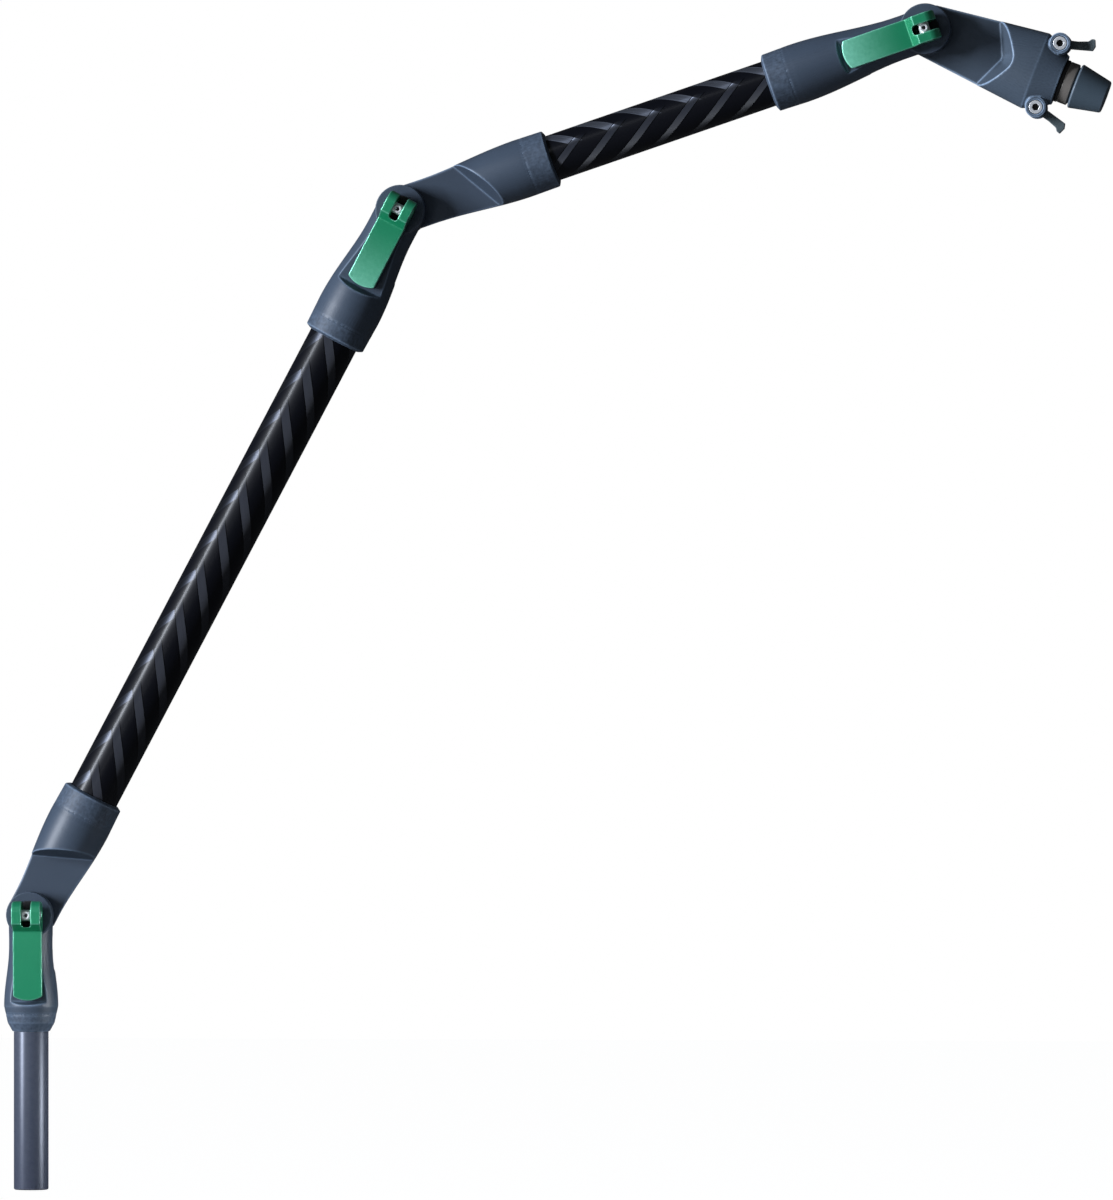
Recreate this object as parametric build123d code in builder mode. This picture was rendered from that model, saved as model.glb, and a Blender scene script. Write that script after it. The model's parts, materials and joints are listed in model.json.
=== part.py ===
"""Articulated angle arm for a window cleaning pole, in millimetres.

A spigot plugs into the pole. Three half-lap elbows, each clamped by a cam lever, carry a
long tube, a short tube and a brush head with a cone and two sprung claws.
The origin is the centre of the spigot's lower end, +Z runs up the spigot, and the elbows
turn about axes along Y, with the levers on the -Y side.
"""

import math
import os
from dataclasses import dataclass

from build123d import *

# ---------------------------------------------------------------- driving dimensions
base_reach = 174.5        # spigot's lower end to the first elbow
long_reach = 505.0        # first elbow to the second
short_reach = 351.0       # second elbow to the third
bend_1 = 27.9             # degrees that each elbow is bent by, from straight
bend_2 = 43.3
bend_3 = 39.7

spigot_diameter = 22.0
spigot_shank = 20.0       # turned down where it is bonded into the knuckle
spigot_bore = 16.0
long_tube_diameter = 32.0
short_tube_diameter = 29.4
tube_wall = 1.5           # carbon tubes

lug_outer = 12.5          # lap plane to a lug's outer face
tooth_height = 0.9        # radial teeth on the lap faces
tooth_width = 1.6
tooth_count = 24
tooth_margin = 1.0        # teeth to the disc's rim, and to the spring's pocket
tooth_root = 0.2          # how far a tooth reaches into its lug
crest_gap = 0.3           # between facing crests, with the clamp let off

stud_diameter = 5.0       # M5 thread, which the nuts, washers and screw heads follow
running_clearance = 0.05  # radial, at pins that turn
stud_clearance = 0.15     # radial, where the stud passes through a lug or the saddle
free_clearance = 0.3      # between pieces that only pass one another
seat_clearance = 0.1      # between pieces that rest on each other when the clamp is closed

barrel_diameter = 7.0
barrel_inset = 0.5        # barrel's end inside the lever's side
stud_proud = 0.6          # stud's front end past the barrel
stud_socket_depth = 2.0
saddle_diameter = 18.0    # the plate that the cam presses on
saddle_thickness = 1.5
saddle_recess = 1.2
cam_radius = 9.0
cam_offset = 0.4          # throw of the cam

lever_width = 18.3
lever_slot_gap = 0.5      # stud to each wall of the slot
lever_slot_wrap = 5.0     # stud to the slot's closed end
lever_slot_corner = 2.0
lever_tip = 54.0          # past the barrel's axis
lever_tip_bulge = 2.5     # rise of the tip's curved end
lever_tip_corner = 1.5
lever_paddle = 4.5        # paddle's thickness
lever_crest_at = 5.5      # crest past the barrel's axis
lever_crest = 6.0         # crest above the barrel's axis
lever_crown_rise = 0.4    # crown's top above the crest
lever_step = 4.5          # run of the inclined step from the crest to the paddle
lever_drop = 2.0          # paddle's outer face below the barrel's axis
lever_droop = 2.2         # the tip below the paddle's start
lever_seat_gap = 1.0      # lever's tip to the end of the flat under it
lever_seat_ramp = 0.45    # run of the ramp beyond the flat for each millimetre of rise

washer_thickness = 1.0
nut_pocket_gap = 1.0      # radial, round the washer
nut_sunk = 0.4            # nut's outer face below the lug's

spring_wire = 0.9         # spring that parts the lugs
spring_gap = 0.95         # stud to the spring's wire
spring_pocket_gap = 0.85  # spring's wire to its pocket
spring_turns = 3.0
spring_pocket_depth = 3.0

band_groove = 0.4         # line that parts a knuckle's band from its body
mouth_lip = 0.8           # knuckle's end face, round the tube


@dataclass
class KnuckleSize:
    """A moulded elbow half, measured along its arm from the elbow's axis."""

    length: float
    disc_radius: float
    waist_rise: float       # the waist's radius beyond the lug's outer face
    waist_at: float
    shoulder_wall: float    # beyond the tube's radius, as the mouth's wall is
    shoulder_at: float
    mouth_wall: float
    mouth_taper: float
    band: float
    socket_depth: float
    lap_end: float
    lap_skew: float         # degrees that the shoulder slants by, towards the inside of the bend
    lap_draft: float        # the shoulder's run along the arm for each millimetre of rise


base_knuckle_size = KnuckleSize(
    length=74.0, disc_radius=14.6, waist_rise=1.8, waist_at=27.0, shoulder_wall=6.2, shoulder_at=58.0,
    mouth_wall=3.9, mouth_taper=5.5, band=11.0, socket_depth=29.0, lap_end=26.0, lap_skew=23.0,
    lap_draft=0.36)
long_lower_size = KnuckleSize(
    length=86.0, disc_radius=14.6, waist_rise=3.5, waist_at=10.0, shoulder_wall=4.15, shoulder_at=66.0,
    mouth_wall=3.6, mouth_taper=1.6, band=15.0, socket_depth=34.0, lap_end=38.0, lap_skew=23.0,
    lap_draft=0.26)
long_upper_size = KnuckleSize(
    length=92.7, disc_radius=15.75, waist_rise=3.3, waist_at=20.0, shoulder_wall=4.5, shoulder_at=72.0,
    mouth_wall=4.0, mouth_taper=1.6, band=11.0, socket_depth=30.0, lap_end=30.0, lap_skew=27.0,
    lap_draft=0.36)
short_lower_size = KnuckleSize(
    length=101.4, disc_radius=15.75, waist_rise=2.5, waist_at=24.0, shoulder_wall=4.0, shoulder_at=82.0,
    mouth_wall=3.7, mouth_taper=1.4, band=16.0, socket_depth=34.0, lap_end=42.3, lap_skew=31.5,
    lap_draft=0.34)
short_upper_size = KnuckleSize(
    length=105.0, disc_radius=16.0, waist_rise=1.3, waist_at=22.0, shoulder_wall=4.3, shoulder_at=86.0,
    mouth_wall=3.9, mouth_taper=1.4, band=14.0, socket_depth=36.0, lap_end=30.0, lap_skew=27.0,
    lap_draft=0.36)

head_disc_radius = 16.0
head_root_width = 33.4    # across the head at the elbow
head_root_depth = 27.0
head_wide_at = 74.0
head_width = 50.4
head_depth = 35.0
head_length = 90.7        # elbow to the end face
head_end_radius = 15.7
head_end_spread = 1.5     # end face wider across than deep
head_flat_end = 28.0      # flat round the elbow, along the head
head_chevron_at = 51.7    # point of the chevron shoulder, along the head
head_chevron_slope = 24.7 # degrees that its arms fall back by
head_chevron_draft = 23.5 # degrees that its face leans
head_chevron_round = 5.0

neck_bore_radius = 9.0
neck_bore_depth = 30.0
seal_radius = 13.8
seal_length = 2.5
ring_radius = 13.5
ring_length = 6.3
neck_edge = 0.4
neck_groove = 1.0
neck_groove_radius = 12.0
cone_root_radius = 14.5
cone_tip_radius = 10.5
cone_length = 21.0
cone_edge = 0.8

latch_offset = 21.5       # claw pivots off the head's centre line
latch_at = 82.8           # claw pivots along the head
latch_boss_wall = 2.1     # round the screw head's pocket
latch_boss_half = 12.5
latch_eye_wall = 3.1      # round the screw
latch_half = 4.5          # half a claw's thickness along Y
latch_width = 5.7
latch_narrowing = 0.6     # hollow in the claw's outer edge
latch_reach = 22.0
latch_flare = 16.0        # degrees outwards at rest
latch_hook = 1.6
latch_hook_rise = 1.9     # slope up to the hook
latch_hook_length = 4.5
screw_head_sunk = 0.2
screw_head_gap = 0.35     # radial, in its pocket
screw_end_sunk = 0.3
latch_spring_wire = 0.7
latch_spring_gap = 0.55   # screw to the spring's wire
latch_spring_turns = 3.0
latch_spring_height = 2.7
latch_spring_pocket_gap = 0.65
latch_spring_pocket_depth = 3.6

# ---------------------------------------------------------------- values worked out from them
lap_face = tooth_height + crest_gap / 2            # lap plane to a lug's inner face
saddle_top = lug_outer - saddle_recess + saddle_thickness
barrel_height = saddle_top + cam_radius + cam_offset + free_clearance
stud_radius = stud_diameter / 2
stud_socket_radius = 0.58 * stud_radius
spigot_radius = spigot_diameter / 2
shank_radius = spigot_shank / 2
lever_slot_end = stud_radius + lever_slot_wrap     # past the barrel's axis
lever_seat_end = lever_tip + lever_seat_gap        # flat under the lever, along the knuckle

nut_across_flats = 1.6 * stud_diameter
nut_thickness = 0.8 * stud_diameter
washer_radius = 1.1 * stud_diameter
nut_pocket_radius = washer_radius + nut_pocket_gap
nut_pocket_depth = seat_clearance + washer_thickness + nut_thickness + nut_sunk
pocket_floor = lug_outer - nut_pocket_depth
spring_radius = stud_radius + spring_gap + spring_wire / 2
spring_pocket_radius = spring_radius + spring_wire / 2 + spring_pocket_gap

screw_head_radius = 1.7 * stud_radius
screw_head_height = 0.68 * stud_diameter
screw_socket_across = 0.8 * stud_diameter
screw_socket_depth = 0.45 * stud_diameter
screw_pocket_radius = screw_head_radius + screw_head_gap
screw_pocket_depth = screw_head_height + screw_head_sunk
latch_boss_radius = screw_pocket_radius + latch_boss_wall
latch_eye_radius = stud_radius + latch_eye_wall
latch_spring_radius = stud_radius + latch_spring_gap + latch_spring_wire / 2
latch_spring_pocket = latch_spring_radius + latch_spring_wire / 2 + latch_spring_pocket_gap

overshoot = 60.0                                   # how far a cutter runs past what it cuts
front = -1                                         # levers and front lugs face -Y
rear = 1

parts_folder = "parts"
os.makedirs(parts_folder, exist_ok=True)


class Bearing:
    """The way one arm leaves an elbow, and the planes that its pieces are drawn on.

    along runs down the arm, out runs from the lap plane to the arm's own lug, and across
    completes the set.
    """

    def __init__(self, elbow, heading, facing):
        turn = math.radians(heading)
        self.elbow = elbow
        self.along = Vector(math.sin(turn), 0, math.cos(turn))
        self.out = Vector(0, facing, 0)
        self.across = self.along.cross(self.out)
        self.axis = Axis(elbow, self.along)

    def point(self, across=0.0, along=0.0, out=0.0):
        """A place given in the arm's own directions."""
        return self.elbow + self.across * across + self.along * along + self.out * out

    def lap(self, out=0.0):
        """The arm seen face on: x across, y along."""
        return Plane(origin=self.point(out=out), x_dir=self.across, z_dir=self.out)

    def section(self, along=0.0):
        """The arm cut across."""
        return Plane(origin=self.point(along=along), x_dir=self.across, z_dir=self.along)

    def side(self):
        """The arm seen edge on: x along, y out."""
        return Plane(origin=self.elbow, x_dir=self.along, z_dir=self.across)

    def skewed_side(self, skew):
        """The edge-on plane, turned in the lap plane towards the outside of the bend."""
        turn = math.radians(skew)
        leaning = self.along * math.cos(turn) + self.across * math.sin(turn)
        return Plane(origin=self.elbow, x_dir=leaning, z_dir=leaning.cross(self.out))


def save(part, name):
    """Label a finished piece and write it as its own STEP file."""
    part.label = name
    export_step(part, f"{parts_folder}/{name}.step")


# ---------------------------------------------------------------- where the arms run
heading_1 = bend_1
heading_2 = heading_1 + bend_2
heading_3 = heading_2 + bend_3

elbow_1 = Vector(0, 0, base_reach)
elbow_2 = Bearing(elbow_1, heading_1, rear).point(along=long_reach)
elbow_3 = Bearing(elbow_2, heading_2, rear).point(along=short_reach)

base_down = Bearing(elbow_1, 180.0, front)
long_up = Bearing(elbow_1, heading_1, rear)
long_down = Bearing(elbow_2, heading_1 + 180.0, front)
short_up = Bearing(elbow_2, heading_2, rear)
short_down = Bearing(elbow_3, heading_2 + 180.0, front)
head_up = Bearing(elbow_3, heading_3, rear)


# ---------------------------------------------------------------- features that knuckles share
def add_lap_teeth(bearing, outer_radius):
    """Radial teeth that stand on a lug's inner face and lock the elbow."""
    inner_radius = spring_pocket_radius + tooth_margin
    for step in range(tooth_count):
        turn = 2 * math.pi * step / tooth_count
        radial = bearing.across * math.cos(turn) + bearing.along * math.sin(turn)
        root = bearing.point(out=lap_face) + radial * inner_radius
        with BuildSketch(Plane(origin=root, x_dir=bearing.out.cross(radial), z_dir=radial)) as tooth:
            with BuildLine():
                Polyline((-tooth_width / 2, tooth_root), (tooth_width / 2, tooth_root),
                         (tooth_width / 2, 0), (0, -tooth_height), (-tooth_width / 2, 0), close=True)
            make_face()
        extrude(tooth.sketch, amount=outer_radius - inner_radius)


def cut_round(bearing, out, radius, depth):
    """A round hole or pocket on the elbow's axis, from one height inwards."""
    with BuildSketch(bearing.lap(out)) as mouth:
        Circle(radius)
    extrude(mouth.sketch, amount=depth, mode=Mode.SUBTRACT)


def cut_stud_way(bearing):
    """The stud's hole and the spring's pocket in a lug."""
    cut_round(bearing, 0, stud_radius + stud_clearance, lug_outer)
    cut_round(bearing, 0, spring_pocket_radius, lap_face + spring_pocket_depth)


def cut_outer_flat(bearing, flat_end):
    """Flatten a lug's outer face, with a ramp where the arm's full round begins."""
    with BuildSketch(bearing.side()) as beyond:
        with BuildLine():
            Polyline((-overshoot, lug_outer), (flat_end, lug_outer),
                     (flat_end + lever_seat_ramp * overshoot, lug_outer + overshoot),
                     (-overshoot, lug_outer + overshoot), close=True)
        make_face()
    extrude(beyond.sketch, amount=overshoot, both=True, mode=Mode.SUBTRACT)


def cut_saddle_recess(bearing):
    """The shallow round seat of the cam's saddle, in a front lug."""
    cut_round(bearing, lug_outer, saddle_diameter / 2, -saddle_recess)


def cut_nut_pocket(bearing):
    """The round pocket that the nut and its washer turn in, in a rear lug."""
    cut_round(bearing, lug_outer, nut_pocket_radius, -nut_pocket_depth)


def cut_lap(bearing, size):
    """Take away the mating lug's half, up to a slanted shoulder that leans along the arm."""
    with BuildSketch(bearing.skewed_side(size.lap_skew)) as half:
        with BuildLine():
            Polyline((-overshoot, lap_face), (size.lap_end, lap_face),
                     (size.lap_end + size.lap_draft * overshoot, lap_face - overshoot),
                     (-overshoot, lap_face - overshoot), close=True)
        make_face()
    extrude(half.sketch, amount=overshoot, both=True, mode=Mode.SUBTRACT)


def knuckle(bearing, size, tube_radius, bore_radius):
    """A moulded elbow half: a toothed disc that grows into a round socket for a tube."""
    waist_radius = lug_outer + size.waist_rise
    shoulder_radius = tube_radius + size.shoulder_wall
    mouth_radius = tube_radius + size.mouth_wall
    mouth_end = (tube_radius + mouth_lip, size.length)
    with BuildPart() as body:
        with BuildSketch(bearing.lap()):
            with BuildLine():
                swell = Spline(
                    (waist_radius, 0), (waist_radius, size.waist_at),
                    (shoulder_radius, size.shoulder_at), tangents=[(0, 1), (0, 1)])
                Polyline(swell @ 1, (mouth_radius, size.length - size.mouth_taper), mouth_end,
                         (0, size.length), (0, 0), swell @ 0)
            make_face()
        revolve(axis=bearing.axis)
        cut_outer_flat(bearing, lever_seat_end if bearing.out.Y < 0 else size.lap_end)
        cut_lap(bearing, size)
        with BuildSketch(bearing.lap(lap_face)):
            Circle(size.disc_radius)
        extrude(amount=lug_outer - lap_face)
        add_lap_teeth(bearing, size.disc_radius - tooth_margin)
        cut_stud_way(bearing)
        if bearing.out.Y < 0:
            cut_saddle_recess(bearing)
        else:
            cut_nut_pocket(bearing)
        with BuildSketch(bearing.section(size.length - size.socket_depth)):
            Circle(bore_radius)
        extrude(amount=size.socket_depth, mode=Mode.SUBTRACT)
        with BuildSketch(bearing.lap()):
            with Locations((shoulder_radius, size.length - size.band)):
                Rectangle(2 * (shoulder_radius - mouth_radius + band_groove), 2 * band_groove)
        revolve(axis=bearing.axis, mode=Mode.SUBTRACT)
    return body.part


def bonded_tube(bearing, start, end, diameter, wall):
    """A straight tube along an arm, between two distances from its elbow."""
    with BuildPart() as tube:
        with BuildSketch(bearing.section(start)):
            Circle(diameter / 2)
            Circle(diameter / 2 - wall, mode=Mode.SUBTRACT)
        extrude(amount=end - start)
    return tube.part


# ---------------------------------------------------------------- clamp pieces, one set per elbow
def cam_lever(bearing):
    """A forked lever: a cam round the barrel, a rounded crown, an inclined step and a flat paddle."""
    half_width = lever_width / 2
    slot_width = stud_diameter + 2 * lever_slot_gap
    cam_middle = barrel_height - cam_offset
    cam_slant = cam_radius * math.sin(math.radians(45))
    crown_start = -cam_radius / 3
    crown_top = lever_crest + lever_crown_rise
    paddle_at = lever_crest_at + lever_step
    paddle_face = barrel_height - lever_drop
    paddle_back = paddle_face - lever_paddle
    under_start = cam_radius / 3
    under_drop = math.sqrt(cam_radius**2 - under_start**2)
    side = bearing.side()
    with BuildPart() as lever:
        with BuildSketch(side):
            with BuildLine():
                crown = TangentArc((-cam_radius, cam_middle), (crown_start, barrel_height + crown_top),
                                   tangent=(0, 1))
                Polyline(crown @ 1, (lever_crest_at, barrel_height + lever_crest), (paddle_at, paddle_face))
                tip = TangentArc((paddle_at, paddle_face), (lever_tip, paddle_face - lever_droop),
                                 tangent=(1, 0))
                back = TangentArc((paddle_at + lever_step, paddle_back),
                                  (lever_tip, paddle_back - lever_droop), tangent=(1, 0))
                Line(tip @ 1, back @ 1)
                Line(back @ 0, (under_start, cam_middle - under_drop))
                ThreePointArc((under_start, cam_middle - under_drop), (-cam_slant, cam_middle - cam_slant),
                              crown @ 0)
            make_face()
        extrude(amount=half_width, both=True)
        with BuildSketch(bearing.lap(saddle_top)) as plan:
            with BuildLine():
                tip_side = lever_tip - lever_tip_bulge
                Polyline((-half_width, tip_side), (-half_width, -cam_radius), (half_width, -cam_radius),
                         (half_width, tip_side))
                ThreePointArc((half_width, tip_side), (0, lever_tip), (-half_width, tip_side))
            make_face()
            fillet(plan.vertices(), lever_tip_corner)
        extrude(amount=overshoot, mode=Mode.INTERSECT)
        with BuildSketch(bearing.lap(saddle_top)) as slot:
            with Locations((0, lever_slot_end - overshoot / 2)):
                Rectangle(slot_width, overshoot)
            fillet(slot.vertices().group_by(Axis.Y)[-1], lever_slot_corner)
        extrude(amount=overshoot, mode=Mode.SUBTRACT)
        with BuildSketch(side):
            with Locations((0, barrel_height)):
                Circle(barrel_diameter / 2 + running_clearance)
        extrude(amount=lever_width, both=True, mode=Mode.SUBTRACT)
    return lever.part


def barrel_pin(bearing):
    """The cross pin that the lever turns on, tapped for the stud."""
    with BuildPart() as barrel:
        with BuildSketch(bearing.side()):
            with Locations((0, barrel_height)):
                Circle(barrel_diameter / 2)
        extrude(amount=lever_width / 2 - barrel_inset, both=True)
        with BuildSketch(bearing.lap(saddle_top)):
            Circle(stud_radius)
        extrude(amount=overshoot, mode=Mode.SUBTRACT)
    return barrel.part


def clamp_stud(bearing):
    """The threaded stud through both lugs, with a small hexagon socket in its front end."""
    stud_back = lug_outer - nut_sunk / 2
    stud_front = barrel_height + barrel_diameter / 2 + stud_proud
    with BuildPart() as stud:
        with BuildSketch(bearing.lap(-stud_back)):
            Circle(stud_radius)
        extrude(amount=stud_back + stud_front)
        with BuildSketch(bearing.lap(stud_front)):
            RegularPolygon(stud_socket_radius, 6)
        extrude(amount=-stud_socket_depth, mode=Mode.SUBTRACT)
    return stud.part


def cam_saddle(bearing):
    """The steel plate between the cam and the front lug."""
    with BuildPart() as saddle:
        with BuildSketch(bearing.lap(lug_outer - saddle_recess)):
            Circle(saddle_diameter / 2)
            Circle(stud_radius + stud_clearance, mode=Mode.SUBTRACT)
        extrude(amount=saddle_thickness)
    return saddle.part


def nut_washer(bearing):
    """The washer on the floor of the rear lug's pocket."""
    with BuildPart() as washer:
        with BuildSketch(bearing.lap(-pocket_floor - seat_clearance)):
            Circle(washer_radius)
            Circle(stud_radius, mode=Mode.SUBTRACT)
        extrude(amount=-washer_thickness)
    return washer.part


def clamp_nut(bearing):
    """The hexagon nut that sets the clamp's grip."""
    with BuildPart() as nut:
        with BuildSketch(bearing.lap(-pocket_floor - seat_clearance - washer_thickness)):
            RegularPolygon(nut_across_flats / 2, 6, major_radius=False)
            Circle(stud_radius, mode=Mode.SUBTRACT)
        extrude(amount=-nut_thickness)
    return nut.part


def coil_spring(start, direction, radius, wire, height, turns):
    """A round-wire coil spring."""
    with BuildPart() as spring:
        with BuildLine() as path:
            Helix(pitch=height / turns, height=height, radius=radius, center=start, direction=direction)
        with BuildSketch(Plane(origin=path.line @ 0, z_dir=path.line % 0)):
            Circle(wire / 2)
        sweep(is_frenet=True)
    return spring.part


def release_spring(bearing):
    """The spring round the stud that parts the teeth when the lever is opened."""
    half = lap_face + spring_pocket_depth - spring_wire / 2 - seat_clearance
    return coil_spring(bearing.point(out=-half), bearing.out, spring_radius, spring_wire,
                       2 * half, spring_turns)


# ---------------------------------------------------------------- brush head
head_tip = head_length + seal_length + ring_length + neck_groove + cone_length
hands = {"upper": 1, "lower": -1}


def latch_place(hand):
    """Where a claw turns, on the head's own lap plane."""
    return Locations((hand * latch_offset, latch_at))


def cut_chevron_lap(bearing):
    """Take away the mating lug's half of the head, up to a shoulder in the shape of a chevron."""
    fall = overshoot * math.tan(math.radians(head_chevron_slope))
    facing = Plane(origin=bearing.point(out=lap_face), x_dir=-bearing.across, z_dir=-bearing.out)
    with BuildSketch(facing) as half:
        with BuildLine():
            Polyline((-overshoot, -overshoot), (overshoot, -overshoot), (overshoot, head_chevron_at - fall),
                     (0, head_chevron_at), (-overshoot, head_chevron_at - fall), close=True)
        make_face()
        fillet(half.vertices().sort_by(Axis.Y)[-1], head_chevron_round)
    extrude(half.sketch, amount=overshoot, taper=-head_chevron_draft, mode=Mode.SUBTRACT)


def head_housing(bearing):
    """The brush head: a rear lug that widens into an oval body with two claw slots."""
    slot_half = latch_half + free_clearance
    slot_radius = latch_eye_radius + free_clearance
    with BuildPart() as housing:
        with BuildSketch(bearing.section(0)):
            Ellipse(head_root_width / 2, head_root_depth / 2)
        with BuildSketch(bearing.section(head_wide_at)):
            Ellipse(head_width / 2, head_depth / 2)
        loft()
        with BuildSketch(bearing.section(head_wide_at)):
            Ellipse(head_width / 2, head_depth / 2)
        with BuildSketch(bearing.section(head_length)):
            Ellipse(head_end_radius + head_end_spread, head_end_radius)
        loft()
        cut_outer_flat(bearing, head_flat_end)
        cut_chevron_lap(bearing)
        with BuildSketch(bearing.lap(lap_face)):
            Circle(head_disc_radius)
        extrude(amount=lug_outer - lap_face)
        add_lap_teeth(bearing, head_disc_radius - tooth_margin)
        cut_stud_way(bearing)
        cut_nut_pocket(bearing)
        with BuildSketch(bearing.lap()):
            for hand in hands.values():
                with latch_place(hand):
                    Circle(latch_boss_radius)
        extrude(amount=latch_boss_half, both=True)
        with BuildSketch(bearing.lap()):
            for hand in hands.values():
                with latch_place(hand):
                    Circle(slot_radius)
                with Locations((hand * (latch_offset + overshoot / 2 - slot_radius),
                                latch_at + overshoot / 2)):
                    Rectangle(overshoot, overshoot)
        extrude(amount=slot_half, both=True, mode=Mode.SUBTRACT)
        with BuildSketch(bearing.lap(-latch_boss_half)):
            for hand in hands.values():
                with latch_place(hand):
                    Circle(stud_radius)
        extrude(amount=2 * latch_boss_half, mode=Mode.SUBTRACT)
        with BuildSketch(bearing.lap(-latch_boss_half)):
            for hand in hands.values():
                with latch_place(hand):
                    Circle(screw_pocket_radius)
        extrude(amount=screw_pocket_depth, mode=Mode.SUBTRACT)
        with BuildSketch(bearing.lap(latch_boss_half)):
            for hand in hands.values():
                with latch_place(hand):
                    RegularPolygon(nut_across_flats / 2, 6, major_radius=False)
        extrude(amount=-nut_thickness, mode=Mode.SUBTRACT)
        with BuildSketch(bearing.section(head_length)):
            Circle(neck_bore_radius)
        extrude(amount=-neck_bore_depth, mode=Mode.SUBTRACT)
    return housing.part


def cone_spigot(bearing):
    """The cone that the brush's socket seats on, with its root in the head."""
    cone_at = head_tip - cone_length
    groove_at = cone_at - neck_groove
    root_end = head_length - neck_bore_depth
    with BuildPart() as cone:
        with BuildSketch(bearing.lap()):
            with BuildLine():
                Polyline((0, root_end), (neck_bore_radius, root_end),
                         (neck_bore_radius, groove_at), (neck_groove_radius, groove_at),
                         (neck_groove_radius, cone_at), (cone_root_radius - cone_edge, cone_at),
                         (cone_root_radius, cone_at + cone_edge),
                         (cone_tip_radius, head_tip - cone_edge), (cone_tip_radius - cone_edge, head_tip),
                         (0, head_tip), close=True)
            make_face()
        revolve(axis=bearing.axis)
    return cone.part


def neck_collar(bearing, start, length, radius):
    """A plain ring on the cone's root."""
    with BuildPart() as collar:
        with BuildSketch(bearing.section(start)):
            Circle(radius)
            Circle(neck_bore_radius, mode=Mode.SUBTRACT)
        extrude(amount=length)
        chamfer(collar.edges().filter_by(GeomType.CIRCLE).group_by(SortBy.RADIUS)[-1], neck_edge)
    return collar.part


def latch_claw(bearing, hand):
    """A sprung claw: an eye on the screw and a flared arm with a hook outwards."""
    flare = math.radians(latch_flare)
    reach_dir = bearing.across * (hand * math.sin(flare)) + bearing.along * math.cos(flare)
    outward = bearing.across * (hand * math.cos(flare)) - bearing.along * math.sin(flare)
    pivot = bearing.point(across=hand * latch_offset, along=latch_at)
    plan = Plane(origin=pivot, x_dir=outward, z_dir=outward.cross(reach_dir))
    half = latch_width / 2
    hook_at = latch_reach - latch_hook_length
    with BuildPart() as claw:
        with BuildSketch(plan):
            Circle(latch_eye_radius)
            with BuildLine():
                Polyline((-half, 0), (half, 0), (half - latch_narrowing, latch_reach / 2), (half, hook_at),
                         (half + latch_hook, hook_at + latch_hook_rise),
                         (half + latch_hook, latch_reach - latch_narrowing),
                         (0, latch_reach), (-half, latch_reach - latch_hook), close=True)
            make_face()
        extrude(amount=latch_half, both=True)
        with BuildSketch(plan):
            Circle(stud_radius + running_clearance)
        extrude(amount=latch_half, both=True, mode=Mode.SUBTRACT)
        with BuildSketch(bearing.lap(latch_half - latch_spring_pocket_depth)):
            with latch_place(hand):
                Circle(latch_spring_pocket)
        extrude(amount=overshoot, mode=Mode.SUBTRACT)
    return claw.part


def latch_screw(bearing, hand):
    """The socket-head screw that a claw turns on, entered from the front."""
    head_face = -latch_boss_half + screw_head_sunk
    shank_start = head_face + screw_head_height
    with BuildPart() as screw:
        with BuildSketch(bearing.lap(shank_start)):
            with latch_place(hand):
                Circle(stud_radius)
        extrude(amount=latch_boss_half - screw_end_sunk - shank_start)
        with BuildSketch(bearing.lap(head_face)):
            with latch_place(hand):
                Circle(screw_head_radius)
        extrude(amount=screw_head_height)
        with BuildSketch(bearing.lap(head_face)):
            with latch_place(hand):
                RegularPolygon(screw_socket_across / 2, 6, major_radius=False)
        extrude(amount=screw_socket_depth, mode=Mode.SUBTRACT)
    return screw.part


def latch_nut(bearing, hand):
    """The nut in the rear of the head that holds a claw's screw."""
    with BuildPart() as nut:
        with BuildSketch(bearing.lap(latch_boss_half)):
            with latch_place(hand):
                RegularPolygon(nut_across_flats / 2, 6, major_radius=False)
                Circle(stud_radius, mode=Mode.SUBTRACT)
        extrude(amount=-nut_thickness)
    return nut.part


def latch_spring(bearing, hand):
    """The spring that holds a claw out, in the claw's pocket."""
    spare = (latch_spring_pocket_depth - latch_spring_height) / 2
    start = bearing.point(across=hand * latch_offset, along=latch_at,
                          out=latch_half - latch_spring_pocket_depth + spare)
    return coil_spring(start, bearing.out, latch_spring_radius, latch_spring_wire, latch_spring_height,
                       latch_spring_turns)


# ---------------------------------------------------------------- make and write every piece
spigot_seat = base_reach - base_knuckle_size.length
with BuildPart() as base_spigot:
    with BuildSketch(Plane.XY):
        Circle(spigot_radius)
    extrude(amount=spigot_seat)
    with BuildSketch(Plane.XY.offset(spigot_seat)):
        Circle(shank_radius)
    extrude(amount=base_knuckle_size.socket_depth)
    with BuildSketch(Plane.XY):
        Circle(spigot_bore / 2)
    extrude(amount=spigot_seat + base_knuckle_size.socket_depth, mode=Mode.SUBTRACT)
save(base_spigot.part, "base_spigot")

save(knuckle(base_down, base_knuckle_size, spigot_radius, shank_radius), "base_knuckle")

long_radius = long_tube_diameter / 2
long_start = long_lower_size.length - long_lower_size.socket_depth
long_end = long_reach - long_upper_size.length + long_upper_size.socket_depth
save(bonded_tube(long_up, long_start, long_end, long_tube_diameter, tube_wall), "long_tube")
save(knuckle(long_up, long_lower_size, long_radius, long_radius), "long_tube_lower_knuckle")
save(knuckle(long_down, long_upper_size, long_radius, long_radius), "long_tube_upper_knuckle")

short_radius = short_tube_diameter / 2
short_start = short_lower_size.length - short_lower_size.socket_depth
short_end = short_reach - short_upper_size.length + short_upper_size.socket_depth
save(bonded_tube(short_up, short_start, short_end, short_tube_diameter, tube_wall), "short_tube")
save(knuckle(short_up, short_lower_size, short_radius, short_radius), "short_tube_lower_knuckle")
save(knuckle(short_down, short_upper_size, short_radius, short_radius), "short_tube_upper_knuckle")

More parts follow.
